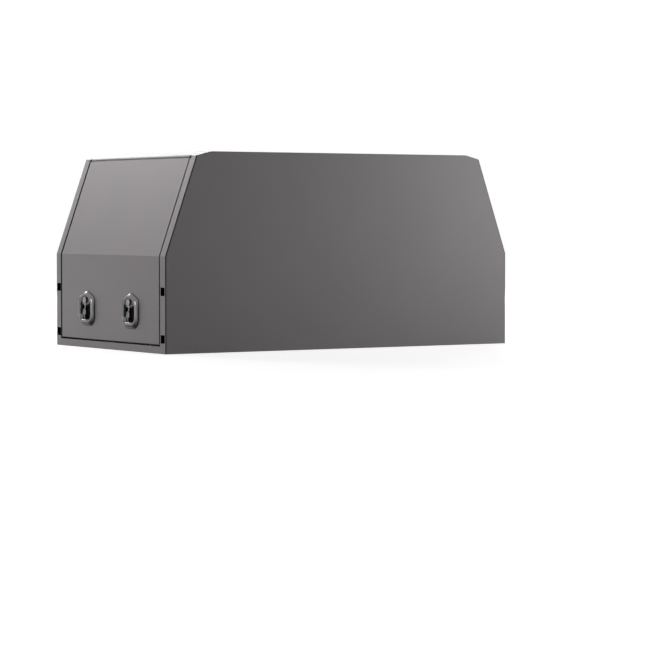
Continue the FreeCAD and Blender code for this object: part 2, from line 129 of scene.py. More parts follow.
def blendColours(tree, factor, first, second):
    # most noise values lie within the middle range, so the blend takes only that
    ramp = tree.nodes.new("ShaderNodeValToRGB")
    stops = zip(ramp.color_ramp.elements, noiseMiddle, (first, second))
    for element, position, colour in stops:
        element.position = position
        element.color = (*colour, 1.0)
    tree.links.new(factor, ramp.inputs["Fac"])
    return ramp.outputs["Color"]


def remap(tree, value, low, high):
    node = tree.nodes.new("ShaderNodeMapRange")
    node.inputs["To Min"].default_value = low
    node.inputs["To Max"].default_value = high
    tree.links.new(value, node.inputs["Value"])
    return node.outputs["Result"]


def addBump(tree, shader, height, strength, distance):
    bump = tree.nodes.new("ShaderNodeBump")
    bump.inputs["Strength"].default_value = strength
    bump.inputs["Distance"].default_value = distance
    tree.links.new(height, bump.inputs["Height"])
    tree.links.new(bump.outputs["Normal"], shader.inputs["Normal"])


# Finishes

coatLook = {
    "dark": (0.1585, 0.1495, 0.156),
    "light": (0.1685, 0.1595, 0.166),
    "sheen": (1.0, 0.95, 0.98),
    "cloudScale": 3.0,
    "peelScale": 420.0,
    "speckScale": 1800.0,
    "roughLow": 0.36,
    "roughHigh": 0.43,
    "peelStrength": 0.05,
    "peelDepth": 0.0004,
}


def makePowderCoat(name, look):
    # satin powder coat: faint clouding, orange peel and a fine grain
    material, tree, shader = newMaterial(name)
    coords = objectCoords(tree)
    cloud = noiseAt(tree, coords, look["cloudScale"], detail=3.0)
    peel = noiseAt(tree, coords, look["peelScale"])
    speck = noiseAt(tree, coords, look["speckScale"], detail=1.0)
    tree.links.new(blendColours(tree, cloud, look["dark"], look["light"]),
                   shader.inputs["Base Color"])
    tree.links.new(remap(tree, speck, look["roughLow"], look["roughHigh"]),
                   shader.inputs["Roughness"])
    shader.inputs["Specular Tint"].default_value = (*look["sheen"], 1.0)
    addBump(tree, shader, peel, look["peelStrength"], look["peelDepth"])
    return material


steelLook = {
    "dark": (0.080, 0.080, 0.083),
    "light": (0.105, 0.105, 0.108),
    "grainScale": 260.0,
    "grainStretch": (1.0, 1.0, 0.12),
    "grainStrength": 0.04,
    "grainDepth": 0.0002,
    "roughLow": 0.16,
    "roughHigh": 0.24,
}


def makeSteel(name, look):
    # polished casting with a faint drawn grain
    material, tree, shader = newMaterial(name)
    coords = objectCoords(tree, look["grainStretch"])
    grain = noiseAt(tree, coords, look["grainScale"], detail=3.0)
    tree.links.new(blendColours(tree, grain, look["dark"], look["light"]),
                   shader.inputs["Base Color"])
    tree.links.new(remap(tree, grain, look["roughLow"], look["roughHigh"]),
                   shader.inputs["Roughness"])
    shader.inputs["Metallic"].default_value = 1.0
    addBump(tree, shader, grain, look["grainStrength"], look["grainDepth"])
    return material


bezelLook = {
    **steelLook,
    # recess and rim are the two ends of the painted reflection: a painted-shade colour and a
    # painted-highlight colour
    "recess": (0.02, 0.02, 0.021),
    "rim": (0.165, 0.165, 0.17),
    "roughLow": 0.12,
    "roughHigh": 0.20,
}


def makeBezelSteel(name, look):
    # painted reflection: from the recess's dark painted-shade colour to the rim's bright
    # painted-highlight colour, by the share that each vertex holds
    material = makeSteel(name, look)
    tree = material.node_tree
    paintedReflection = tree.nodes.new("ShaderNodeAttribute")
    paintedReflection.attribute_name = "paintedReflection"
    blend = tree.nodes.new("ShaderNodeMix")
    blend.data_type = "RGBA"
    ends = [socket for socket in blend.inputs if socket.type == "RGBA"]
    ends[0].default_value = (*look["recess"], 1.0)
    ends[1].default_value = (*look["rim"], 1.0)
    blended = next(socket for socket in blend.outputs if socket.type == "RGBA")
    tree.links.new(paintedReflection.outputs["Fac"], blend.inputs["Factor"])
    tree.links.new(blended, tree.nodes["Principled BSDF"].inputs["Base Color"])
    return material


mouldingLook = {
    "lighterBy": 1.5,
    "lighterPlus": 0.002,
    "roughSpread": 0.08,
    "grainDepth": 0.0005,
}


def makeMoulding(name, colour, roughness, scale, bump, shine):
    # moulded rubber or plastic with a fine matt texture
    look = mouldingLook
    material, tree, shader = newMaterial(name)
    shader.inputs["Specular IOR Level"].default_value = shine
    coords = objectCoords(tree)
    grain = noiseAt(tree, coords, scale, detail=3.0)
    lighter = tuple(value * look["lighterBy"] + look["lighterPlus"] for value in colour)
    rough = remap(tree, grain, roughness - look["roughSpread"], roughness + look["roughSpread"])
    tree.links.new(blendColours(tree, grain, colour, lighter), shader.inputs["Base Color"])
    tree.links.new(rough, shader.inputs["Roughness"])
    addBump(tree, shader, grain, bump, look["grainDepth"])
    return material


powderCoat = makePowderCoat("powderCoat", coatLook)
hingeCoat = makePowderCoat("hingeCoat", {**coatLook, "dark": (0.13, 0.123, 0.126),
                                         "light": (0.145, 0.137, 0.141)})
latchSteel = makeBezelSteel("latchSteel", bezelLook)
handleSteel = makeSteel("handleSteel", {**steelLook, "dark": (0.09, 0.09, 0.093),
                                        "light": (0.115, 0.115, 0.118)})
bossCast = makeSteel("bossCast", {**steelLook, "dark": (0.05, 0.05, 0.05),
                                  "light": (0.07, 0.07, 0.07), "roughLow": 0.22,
                                  "roughHigh": 0.32})
lockSteel = makeSteel("lockSteel", {**steelLook, "dark": (0.18, 0.18, 0.185),
                                    "light": (0.23, 0.23, 0.235)})
zincSteel = makeSteel("zincSteel", {**steelLook, "dark": (0.42, 0.42, 0.43),
                                    "light": (0.52, 0.52, 0.53), "roughLow": 0.28,
                                    "roughHigh": 0.42})
cupPlastic = makeMoulding("cupPlastic", (0.003, 0.003, 0.003), roughness=0.60, scale=900.0,
                          bump=0.1, shine=0.04)
sealRubber = makeMoulding("sealRubber", (0.008, 0.008, 0.008), roughness=0.65, scale=700.0,
                          bump=0.15, shine=0.1)
# painted shade: near-black for the leg sockets and their holes' cut edges
paintedSocketShade = makeMoulding("paintedSocketShade", (0.002, 0.002, 0.002), roughness=0.75, scale=500.0,
                           bump=0.1, shine=0.0)
print("finishes made")

nodeFinish = {
    "sockets": (paintedSocketShade, "powder_coat"),
    "seal": (sealRubber, "seal_rubber"),
    "cups": (cupPlastic, "latch_black"),
    "barrels": (bossCast, "latch_metal"),
    "bezels": (latchSteel, "latch_metal"),
    "cams": (zincSteel, "latch_metal"),
    "handle": (handleSteel, "latch_metal"),
    "hinge_pin": (zincSteel, "hinge_steel"),
    "hinge": (hingeCoat, "hinge_finish"),
}


def finishFor(nodeName):
    for word, finish in nodeFinish.items():
        if word in nodeName:
            return finish
    return powderCoat, "powder_coat"


for nodeName, node in frame["nodes"].items():
    node.data.materials.clear()
    node.data.materials.append(finishFor(nodeName)[0])
    for polygon in node.data.polygons:
        polygon.material_index = 0


# Making and placing pieces

def linkPiece(name, mesh):
    piece = bpy.data.objects.new(name, mesh)
    bpy.context.scene.collection.objects.link(piece)
    return piece


def meshFrom(name, bm, material):
    bmesh.ops.recalc_face_normals(bm, faces=bm.faces)
    mesh = bpy.data.meshes.new(name)
    bm.to_mesh(mesh)
    bm.free()
    mesh.materials.append(material)
    return mesh


def applyModifiers(piece):
    # the evaluated shape becomes the piece's own mesh
    depsgraph = bpy.context.evaluated_depsgraph_get()
    mesh = bpy.data.meshes.new_from_object(piece.evaluated_get(depsgraph))
    piece.modifiers.clear()
    piece.data = mesh


def place(piece, body, slotName, *replaced):
    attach(piece, body)
    if replaced:
        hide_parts(*replaced)


mergeReach = 0.01 * mm
flatTurn = math.radians(0.5)


def mergedCopy(nodeName):
    # the frame's solid as one clean shape: flat faces whole, doubles merged
    bm = bmesh.new()
    bm.from_mesh(frame["nodes"][nodeName].data)
    bmesh.ops.remove_doubles(bm, verts=bm.verts, dist=mergeReach)
    bmesh.ops.dissolve_limit(bm, angle_limit=flatTurn, verts=bm.verts, edges=bm.edges)
    return bm


foldLook = {
    "turn": 8.0,  # degrees; a long edge that turns this much is a fold in the sheet
    "length": 20.0 * mm,
}


def weighEdges(mesh, angle):
    # which edges are rounded: those sharper than the angle, and the folds
    bm = bmesh.new()
    bm.from_mesh(mesh)
    weight = bm.edges.layers.float.new("bevel_weight_edge")
    for edge in bm.edges:
        turn = math.degrees(edge.calc_face_angle(0.0))
        folded = turn > foldLook["turn"] and edge.calc_length() > foldLook["length"]
        edge[weight] = 1.0 if turn > angle or folded else 0.0
    bm.to_mesh(mesh)
    bm.free()


def roundEdges(piece, radius, segments, angle=25.0):
    weighEdges(piece.data, angle)
    bevel = piece.modifiers.new("roundedEdges", "BEVEL")
    bevel.width = radius
    bevel.segments = segments
    bevel.limit_method = "WEIGHT"
    bevel.face_strength_mode = "FSTR_ALL"
    flatten = piece.modifiers.new("flatFaces", "WEIGHTED_NORMAL")
    flatten.weight = 100
    flatten.use_face_influence = True
    for polygon in piece.data.polygons:
        polygon.use_smooth = True
    applyModifiers(piece)


# Folded and cut sheet, with its edges rounded as folding and coating leave them

sheetEdges = {
    # node: edge radius in mm
    "rear_panel": 1.0,
    "front_panel": 1.0,
    "roof_panel": 1.0,
    "floor_panel": 0.8,
    "rear_left_post": 0.8,
    "rear_right_post": 0.8,
    "front_left_post": 0.8,
    "front_right_post": 0.8,
    "left_sill": 0.8,
    "right_sill": 0.8,
    "left_head_rail": 0.8,
    "right_head_rail": 0.8,
    "left_door_skin": 1.2,
    "right_door_skin": 1.2,
    "left_door_inner_frame": 0.8,
    "right_door_inner_frame": 0.8,
}


def narrowPanel(bm):
    # the panel's side edges move in by the sealant's width
    for vert in bm.verts:
        side = math.copysign(1.0, vert.co.x)
        point = Vector((-abs(vert.co.x), vert.co.z))
        if (point - kink).length < mm:
            point = kinkPoint(seamWidth)
        elif (point - shoulder).length < mm:
            point = shoulderPoint(seamWidth)
        elif point.x < -halfWidth + mm:
            point = wallPoint(seamWidth, point.y)
        vert.co.x = -side * point.x
        vert.co.z = point.y


socketLook = {
    "margin": 3.0 * mm,  # how near the post's face, and how far within it, a cut edge lies
    "facing": 0.5,  # a face that turns less than this towards the side is a cut edge
}


def paintSocketShade(mesh, look):
    # painted shade: the leg sockets and the cut edges of their holes are painted near-black, as
    # the shade inside the holes
    mesh.materials.append(paintedSocketShade)
    margin = look["margin"]
    for polygon in mesh.polygons:
        middle = polygon.center
        cutEdge = abs(polygon.normal.x) < look["facing"] and abs(middle.x) > halfWidth - margin
        withinPost = openingHalf + margin < abs(middle.y) < halfLength - margin
        if cutEdge and withinPost and margin < middle.z < kink.y - margin:
            polygon.material_index = 1


def finishSheet(nodeName, radius):
    bm = mergedCopy(nodeName)
    if nodeName in ("rear_panel", "front_panel"):
        narrowPanel(bm)
    mesh = meshFrom(nodeName + "_sheet", bm, finishFor(nodeName)[0])
    if "post" in nodeName:
        paintSocketShade(mesh, socketLook)
    piece = linkPiece(nodeName + "_sheet", mesh)
    roundEdges(piece, radius, segments=2)
    place(piece, bodyOfNode[nodeName], finishFor(nodeName)[1], nodeName)


for nodeName, radius in sheetEdges.items():
    finishSheet(nodeName, radius * mm)
print("sheet pieces finished:", len(sheetEdges))


# Latches

latchLook = {
    "width": 137.0 * mm,
    "length": 155.0 * mm,
    "shoulder": 84.0 * mm,
    "apexRadius": 24.0 * mm,
    "cornerRadius": 46.0 * mm,
    "arcSteps": 14,
    "smoothTo": 40.0,  # degrees; edges up to this are shaded smooth
    # rings round the casting, from the door's face over the rim and down the recess: inset,
    # height and chin in mm, and the painted reflection, from painted shade at 0 to painted
    # highlight at 1; the chin is how much more the lower end is drawn in
    "profile": [(0.0, 0.0, 0.0, 0.0), (0.0, 3.6, 0.0, 0.0), (0.3, 4.6, 0.2, 0.05),
                (1.4, 7.0, 1.6, 0.7), (3.8, 10.6, 4.2, 0.9), (7.0, 13.2, 6.6, 0.85),
                (10.0, 14.5, 8.2, 0.9), (11.8, 14.9, 8.8, 0.8), (14.4, 14.9, 9.0, 0.6),
                (15.6, 14.4, 9.4, 0.8), (16.6, 13.0, 10.0, 1.0), (18.2, 7.0, 13.0, 1.0),
                (20.0, 0.0, 16.0, 0.6)],
    "crown": 0.45,  # share of the chin by which the upper end is drawn in too
    "apexSteps": 4,
    "taperTo": 9.0,  # mm; rings less far in than this are the taper
    "recessFrom": 15.0,  # mm; rings further in than this are the recess
    "taperPaintedShade": 1.0,  # painted shade: share of the painted reflection that the taper loses, darker towards its lower end
    "recessPaintedShade": 0.5,  # the same painted shade for the recess
    "paintedShadeRise": 1.6,  # how steeply the painted reflection goes down towards the lower end
    "frontPaintedShade": 0.5,  # painted shade: share of the painted reflection that the edge towards the vehicle's front loses
    # the upper end is drawn out to straight sides and a low gable, which meet in soft corners
    "gableTurn": 66.0,  # degrees from level to the line square to the gable's side
    "gableReach": 67.5 * mm,
    "gableCorner": 12.0,  # the higher, the sharper
    # painted highlight on the gable's upper taper
    "gablePaintedHighlight": 1.25,
    "gableRise": 45.0 * mm,  # how far above the shoulder the gable's painted highlight is reached
    "gableTo": 10.0,  # mm; rings further in than this go back to the round arch
    "archFrom": 14.4,  # mm; rings from here on are the round arch
}


def arcPoints(centre, radius, start, end, steps):
    # without the last point, which the next stretch begins with
    turn = (end - start) / steps
    return [(centre[0] + radius * math.cos(start + turn * index),
             centre[1] + radius * math.sin(start + turn * index)) for index in range(steps)]


def pearOutline(look, inset, low):
    # points (y, z) round the latch's outline, a distance inside its foot
    steps = look["arcSteps"]
    fullHalf = look["width"] / 2.0
    corner = look["cornerRadius"] - inset
    cornerCentre = (fullHalf - look["cornerRadius"], low + look["cornerRadius"])
    archLow = low + look["shoulder"]
    apexCentre = low + look["length"] - look["apexRadius"]
    rise = apexCentre - archLow
    sideRadius = (rise * rise / (fullHalf - look["apexRadius"])
                  + fullHalf + look["apexRadius"]) / 2.0
    sideCentre = fullHalf - sideRadius
    join = math.atan2(rise, -sideCentre)
    right = arcPoints(cornerCentre, corner, -math.pi / 2.0, 0.0, steps)
    right += [(fullHalf - inset, cornerCentre[1])]
    right += arcPoints((sideCentre, archLow), sideRadius - inset, 0.0, join, steps)
    right += arcPoints((0.0, apexCentre), look["apexRadius"] - inset, join, math.pi / 2.0,
                       look["apexSteps"])
    top = [(0.0, apexCentre + look["apexRadius"] - inset)]
    left = [(-y, z) for y, z in reversed(right)]
    return right + top + left


def drawnIn(outline, chin, crown):
    # the same outline with its lower and upper ends moved towards each other
    low = min(z for y, z in outline)
    high = max(z for y, z in outline)
    share = 1.0 - (chin + crown) / (high - low)
    return [(y, low + chin + (z - low) * share) for y, z in outline]


def gabled(outline, look, inset, low):
    # the same outline with its upper end drawn out, fully so in the outer rings
    spread = (look["archFrom"] - inset / mm) / (look["archFrom"] - look["gableTo"])
    share = min(max(spread, 0.0), 1.0)
    turn = math.radians(look["gableTurn"])
    power = look["gableCorner"]
    archLow = low + look["shoulder"]
    drawn = []
    for y, z in outline:
        reach = math.hypot(y, z - archLow)
        if z > archLow and share > 0.0:
            sideways = abs(y) / reach
            upwards = (z - archLow) / reach
            toSide = sideways / (look["width"] / 2.0 - inset)
            near = upwards * math.sin(turn) + sideways * math.cos(turn)
            far = max(upwards * math.sin(turn) - sideways * math.cos(turn), 0.0)
            toGables = [part / (look["gableReach"] - inset) for part in (near, far)]
            total = sum(part ** power for part in (toSide, *toGables))
            full = total ** (-1.0 / power)
            scale = 1.0 + share * (full / reach - 1.0)
            y, z = y * scale, archLow + (z - archLow) * scale
        drawn.append((y, z))
    return drawn


# painted reflection of a vertex: painted shade towards the lower end, in the recess and along
# the front edge, and a painted highlight up the gable
def paintedReflectionAt(look, inset, paintedReflection, y, z):
    # y is across from the latch's middle, and z up from its lower end
    down = (look["cornerRadius"] - z) / look["cornerRadius"] * look["paintedShadeRise"]
    up = (z - look["shoulder"]) / look["gableRise"]
    paintedShade = 0.0
    if inset < look["taperTo"]:
        paintedShade = look["taperPaintedShade"]
    elif inset > look["recessFrom"]:
        paintedShade = look["recessPaintedShade"]
    paintedLevel = paintedReflection * (1.0 - paintedShade * min(max(down, 0.0), 1.0))
    if inset < look["archFrom"] and y > look["width"] / 4.0:
        paintedLevel *= 1.0 - look["frontPaintedShade"]
    # painted highlight up the gable's taper
    if inset < look["gableTo"]:
        paintedLevel = max(paintedLevel, look["gablePaintedHighlight"] * min(max(up, 0.0), 1.0))
    return paintedLevel


def makeBezel(name, look, side, centre, low):
    # rings of the outline, stitched round the casting's profile
    bm = bmesh.new()
    paintedReflectionOf = bm.verts.layers.float.new("paintedReflection")
    rings = []
    for inset, height, chin, paintedReflection in look["profile"]:
        outline = gabled(pearOutline(look, inset * mm, low), look, inset * mm, low)
        outline = drawnIn(outline, chin * mm, chin * look["crown"] * mm)
        x = side * (halfWidth + height * mm)
        ring = [bm.verts.new((x, centre + y, z)) for y, z in outline]
        for vert, (y, z) in zip(ring, outline):
            vert[paintedReflectionOf] = paintedReflectionAt(look, inset, paintedReflection, y, z - low)
        rings.append(ring)
    count = len(rings[0])
    for index, ring in enumerate(rings):
        following = rings[(index + 1) % len(rings)]
        for point in range(count):
            after = (point + 1) % count
            bm.faces.new((ring[point], ring[after], following[after], following[point]))
    return meshFrom(name, bm, latchSteel)


def joinMeshes(name, meshes):
    bm = bmesh.new()
    for mesh in meshes:
        bm.from_mesh(mesh)
    joined = bpy.data.meshes.new(name)
    bm.to_mesh(joined)
    bm.free()
    for material in meshes[0].materials:
        joined.materials.append(material)
    return joined


def smoothByAngle(mesh, degrees):
    for polygon in mesh.polygons:
        polygon.use_smooth = True
    mesh.set_sharp_from_angle(angle=math.radians(degrees))


def latchCentres():
    # the handles give each latch's place along the door
    centres = []
    for nodeName in ("left_rear_latch_handle", "left_front_latch_handle"):
        low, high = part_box(nodeName)
        centres.append((low.y + high.y) / 2.0)
    return centres


def dressBezels(sideName, side):
    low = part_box(sideName + "_latch_bezels")[0].z
    meshes = [makeBezel("bezel", latchLook, side, centre, low) for centre in latchCentres()]
    mesh = joinMeshes(sideName + "_bezel_castings", meshes)
    smoothByAngle(mesh, latchLook["smoothTo"])
    piece = linkPiece(sideName + "_bezel_castings", mesh)
    place(piece, bodyOfNode[sideName + "_latch_bezels"], "latch_metal",
          sideName + "_latch_bezels")


barrelLook = {
    "edge": 0.5 * mm,
    "edgeAngle": 40.0,  # degrees; sharper edges than this are rounded
    "bossDrop": 3.5 * mm,  # the boss's face lies this much deeper than the frame's
    "lockReach": 13.7 * mm,  # faces this near the lock's axis are the bright lock
    "lockStandsFrom": 13.2 * mm,
    "lockFrom": 10.2 * mm,
}


def dressBarrels(sideName, look):
    # a dark cast boss that carries the bright lock cylinder
    nodeName = sideName + "_latch_barrels"
    bm = mergedCopy(nodeName)
    piece = linkPiece(sideName + "_lock_bosses", meshFrom(nodeName, bm, bossCast))
    piece.data.materials.append(lockSteel)
    lockHeight = latchLockHeight()
    for vert in piece.data.vertices:
        height = abs(vert.co.x) - halfWidth
        if look["lockStandsFrom"] - mm < height < look["lockStandsFrom"]:
            vert.co.x -= math.copysign(look["bossDrop"], vert.co.x)
    for polygon in piece.data.polygons:
        middle = polygon.center
        away = min(math.hypot(middle.y - centre, middle.z - lockHeight)
                   for centre in latchCentres())
        if away < look["lockReach"] and abs(middle.x) > halfWidth + look["lockFrom"]:
            polygon.material_index = 1
    roundEdges(piece, look["edge"], segments=2, angle=look["edgeAngle"])
    place(piece, bodyOfNode[nodeName], "latch_metal", nodeName)


def latchLockHeight():
    # the cams share the lock's axis
    low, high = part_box("left_latch_cams")
    return (low.z + high.z) / 2.0


handleLook = {
    "edge": 0.8 * mm,
    "edgeAngle": 30.0,
    "shadedTail": 13.0 * mm,  # painted shade: the tongue below the grip takes the dark boss finish
    "flush": 0.1 * mm,  # vertices this near the front are the grip's face
    "border": 3.6 * mm,
    "dish": 1.6 * mm,
}


def dressHandle(nodeName, side, look):
    # the grip's face is dished inside a raised border
    bm = mergedCopy(nodeName)
    front = max(side * vert.co.x for vert in bm.verts)
    faces = [face for face in bm.faces
             if all(abs(side * vert.co.x - front) < look["flush"] for vert in face.verts)]
    bmesh.ops.inset_region(bm, faces=faces, thickness=look["border"], depth=0.0)
    inner = {vert for face in faces for vert in face.verts}
    for vert in inner:
        vert.co.x -= side * look["dish"]
    piece = linkPiece(nodeName + "_casting", meshFrom(nodeName, bm, handleSteel))
    piece.data.materials.append(bossCast)
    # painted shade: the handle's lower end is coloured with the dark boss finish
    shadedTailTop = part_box(nodeName)[0].z + look["shadedTail"]
    for polygon in piece.data.polygons:
        if polygon.center.z < shadedTailTop:
            polygon.material_index = 1
    roundEdges(piece, look["edge"], segments=2, angle=look["edgeAngle"])
    place(piece, bodyOfNode[nodeName], "latch_metal", nodeName)


for sideName, side in (("left", -1.0), ("right", 1.0)):
    dressBezels(sideName, side)
    dressBarrels(sideName, barrelLook)
dressHandle("left_rear_latch_handle", -1.0, handleLook)
dressHandle("left_front_latch_handle", -1.0, handleLook)
dressHandle("right_latch_handles", 1.0, handleLook)
print("latches dressed")


# Trees for what repeats or follows a path

def newTree(name, inputs):
    tree = bpy.data.node_groups.new(name, "GeometryNodeTree")
    tree.interface.new_socket("Geometry", in_out="INPUT", socket_type="NodeSocketGeometry")
    for label, (kind, value) in inputs.items():
        socket = tree.interface.new_socket(label, in_out="INPUT", socket_type=kind)
        if value is not None:
            socket.default_value = value
    tree.interface.new_socket("Geometry", in_out="OUTPUT", socket_type="NodeSocketGeometry")
    return tree, tree.nodes.new("NodeGroupInput"), tree.nodes.new("NodeGroupOutput")


def endTree(tree, geometry, given, result):
    # real geometry with its finish set
    realize = tree.nodes.new("GeometryNodeRealizeInstances")
    setMaterial = tree.nodes.new("GeometryNodeSetMaterial")
    tree.links.new(geometry, realize.inputs["Geometry"])
    tree.links.new(realize.outputs["Geometry"], setMaterial.inputs["Geometry"])
    tree.links.new(given.outputs["Finish"], setMaterial.inputs["Material"])
    tree.links.new(setMaterial.outputs["Geometry"], result.inputs["Geometry"])


def runTree(piece, tree, values):
    modifier = piece.modifiers.new(tree.name, "NODES")
    modifier.node_group = tree
    for item in tree.interface.items_tree:
        if item.in_out == "INPUT" and item.name in values:
            modifier[item.identifier] = values[item.name]
    applyModifiers(piece)


def prismMesh(name, section, side, yLow, yHigh, material):
    # a cross-section outline of the left side pushed along the canopy, or its mirror image
    bm = bmesh.new()
    near = [bm.verts.new((-side * point.x, yLow, point.y)) for point in section]
    far = [bm.verts.new((-side * point.x, yHigh, point.y)) for point in section]
    bm.faces.new(near)
    bm.faces.new(list(reversed(far)))
    for index in range(len(section)):
        after = (index + 1) % len(section)
        bm.faces.new((near[index], far[index], far[after], near[after]))
    return meshFrom(name, bm, material)


# Black rubber edging on the body side of each door's gap; its stops in the gap's top corners and
# its lip over the front post are painted shade, dark rubber where the gaps show only shade

edgingLook = {
    "thickness": 2.6 * mm,
    "front": 0.4 * mm,  # how far behind the face it starts
    "back": 34.0 * mm,
    "topRun": 10.0 * mm,
    "edge": 0.5 * mm,
    "cornerTop": 1.0 * mm,  # how far below the shoulder the gap's top corners are stopped with painted-shade stops
    "cornerBack": 6.0 * mm,
    "cornerClear": 0.5 * mm,
    "cornerLap": 7.0 * mm,  # how far each painted-shade stop laps over the post
    "cornerProud": 0.6 * mm,
    "frontLap": 3.2 * mm,  # how far the front upright's painted-shade lip laps over the post
    "lipProud": 0.5 * mm,
    "lipBack": 0.7 * mm,
}


def bandSection(front, back, low, topRun):
    # a band up the side and the slope, between two depths behind the face
    return [wallPoint(front, low), kinkPoint(front), slopePoint(topRun, front),
            slopePoint(topRun, back), kinkPoint(back), wallPoint(back, low)]


def dressEdging(sideName, side, look):
    low = floorTop + look["thickness"]
    upright = bandSection(look["front"], look["back"], low, look["topRun"])
    flat = [wallPoint(look["front"], floorTop), wallPoint(look["front"], low),
            wallPoint(look["back"], low), wallPoint(look["back"], floorTop)]
    corner = [slopePoint(look["cornerTop"], -look["cornerProud"]),
              slopePoint(look["topRun"] + mm, -look["cornerProud"]),
              slopePoint(look["topRun"] + mm, look["cornerBack"]),
              slopePoint(look["cornerTop"], look["cornerBack"])]
    lip = bandSection(-look["lipProud"], look["lipBack"], low, look["topRun"])
    inner = openingHalf - look["thickness"]
    besideDoor = doorHalf + look["cornerClear"]
    lapped = openingHalf + look["cornerLap"]
    strips = [
        prismMesh("stop", corner, side, -lapped, -besideDoor, sealRubber),
        prismMesh("stop", corner, side, besideDoor, lapped, sealRubber),
        prismMesh("strip", upright, side, -openingHalf, -inner, sealRubber),
        prismMesh("strip", upright, side, inner, openingHalf, sealRubber),
        prismMesh("lip", lip, side, inner, openingHalf + look["frontLap"], sealRubber),
        prismMesh("strip", flat, side, -openingHalf, openingHalf, sealRubber),
    ]
    piece = linkPiece(sideName + "_opening_edging",
                      joinMeshes(sideName + "_opening_edging", strips))
    roundEdges(piece, look["edge"], segments=1)
    place(piece, "root", "seal_rubber")


for sideName, side in (("left", -1.0), ("right", 1.0)):
    dressEdging(sideName, side, edgingLook)
print("openings edged")


# Bulb seal round each door opening

sealLook = {
    "bulbRadius": 5.4 * mm,
    "inward": 6.0 * mm,
    "cornerRadius": 14.0 * mm,
    "cornerSteps": 6,
    "sides": 14,
    "smoothTo": 50.0,
}


def makeSealTree():
    tree, given, result = newTree("bulbSealTree", {
        "Radius": ("NodeSocketFloat", 0.005),
        "Corner Radius": ("NodeSocketFloat", 0.01),
        "Corner Steps": ("NodeSocketInt", 6),
        "Sides": ("NodeSocketInt", 14),
        "Finish": ("NodeSocketMaterial", None),
    })
    toCurve = tree.nodes.new("GeometryNodeMeshToCurve")
    fillet = tree.nodes.new("GeometryNodeFilletCurve")
    fillet.mode = "POLY"
    profile = tree.nodes.new("GeometryNodeCurvePrimitiveCircle")
    sweep = tree.nodes.new("GeometryNodeCurveToMesh")
    tree.links.new(given.outputs["Geometry"], toCurve.inputs["Mesh"])
    tree.links.new(toCurve.outputs["Curve"], fillet.inputs["Curve"])
    tree.links.new(given.outputs["Corner Radius"], fillet.inputs["Radius"])
    tree.links.new(given.outputs["Corner Steps"], fillet.inputs["Count"])
    tree.links.new(given.outputs["Sides"], profile.inputs["Resolution"])
    tree.links.new(given.outputs["Radius"], profile.inputs["Radius"])
    tree.links.new(fillet.outputs["Curve"], sweep.inputs["Curve"])
    tree.links.new(profile.outputs["Curve"], sweep.inputs["Profile Curve"])
    endTree(tree, sweep.outputs["Mesh"], given, result)
    return tree


sealTree = makeSealTree()

# how far down the slope the seal's upper edge lies, and how deep its two faces are
sealPoints = [Vector((v.co.x, v.co.z)) for v in frame["nodes"]["left_door_seal"].data.vertices]
sealRun = min((shoulder - point).dot(slopeDir) for point in sealPoints)
sealFront = sealLow.x + halfWidth
sealBack = halfWidth + max(point.x for point in sealPoints if point.y < kink.y / 2.0)


def sealPath(name, side, depth, inward):
    # the middle of the seal, a depth inside the door's face and a step in from its outer edge
    low = sealLow.z + inward
    half = sealHigh.y - inward
    top = sealRun + inward
    section = [wallPoint(depth, low), kinkPoint(depth), slopePoint(top, depth)]
    rear = [(-side * point.x, -half, point.y) for point in section]
    front = [(-side * point.x, half, point.y) for point in reversed(section)]
    corners = rear + front
    mesh = bpy.data.meshes.new(name)
    edges = [(index, (index + 1) % len(corners)) for index in range(len(corners))]
    mesh.from_pydata(corners, edges, [])
    return linkPiece(name, mesh)


def dressSeal(sideName, side, look):
    middle = (sealFront + sealBack) / 2.0
    bulb = sealPath(sideName + "_bulb_seal", side, middle, look["inward"])
    runTree(bulb, sealTree, {"Radius": look["bulbRadius"], "Corner Radius": look["cornerRadius"],
                             "Corner Steps": look["cornerSteps"], "Sides": look["sides"],
                             "Finish": sealRubber})
    smoothByAngle(bulb.data, look["smoothTo"])
    place(bulb, "root", "seal_rubber", sideName + "_door_seal")


dressSeal("left", -1.0, sealLook)
dressSeal("right", 1.0, sealLook)
print("seals made")


# Sealant in the corner where each end panel's edge laps the posts

seamLook = {
    "radius": 1.25 * mm,
    "foot": 0.4 * mm,
    "cornerSteps": 2,
    "sides": 8,
    "smoothTo": 60.0,
}


def openPath(name, corners):
    mesh = bpy.data.meshes.new(name)
    edges = [(index, index + 1) for index in range(len(corners) - 1)]
    mesh.from_pydata(corners, edges, [])
    return linkPiece(name, mesh)


def dressCornerSeam(endName, sideName, end, side, look):
    middle = seamWidth / 2.0
    y = end * (halfLength - middle)
    section = [wallPoint(middle, look["foot"]), kinkPoint(middle),
               shoulderPoint(middle) - slopeDir * seamWidth]
    name = endName + "_" + sideName + "_corner_sealant"
    seam = openPath(name, [(-side * point.x, y, point.y) for point in section])
    runTree(seam, sealTree, {"Radius": look["radius"], "Corner Radius": seamWidth,
                             "Corner Steps": look["cornerSteps"], "Sides": look["sides"],
                             "Finish": sealRubber})
    smoothByAngle(seam.data, look["smoothTo"])
    place(seam, "root", "seal_rubber")


for endName, end in (("rear", -1.0), ("front", 1.0)):
    for sideName, side in (("left", -1.0), ("right", 1.0)):
        dressCornerSeam(endName, sideName, end, side, seamLook)
print("corner seams made")


# Camera, at the place worked out from the corners of the canopy

cameraPlace = {
    "position": (-6.2001, -9.9088, 0.5746),
    "pitch": -2.3361,
    "turn": -32.9324,
    "lens": 143.616,
    "sensor": 36.0,
}


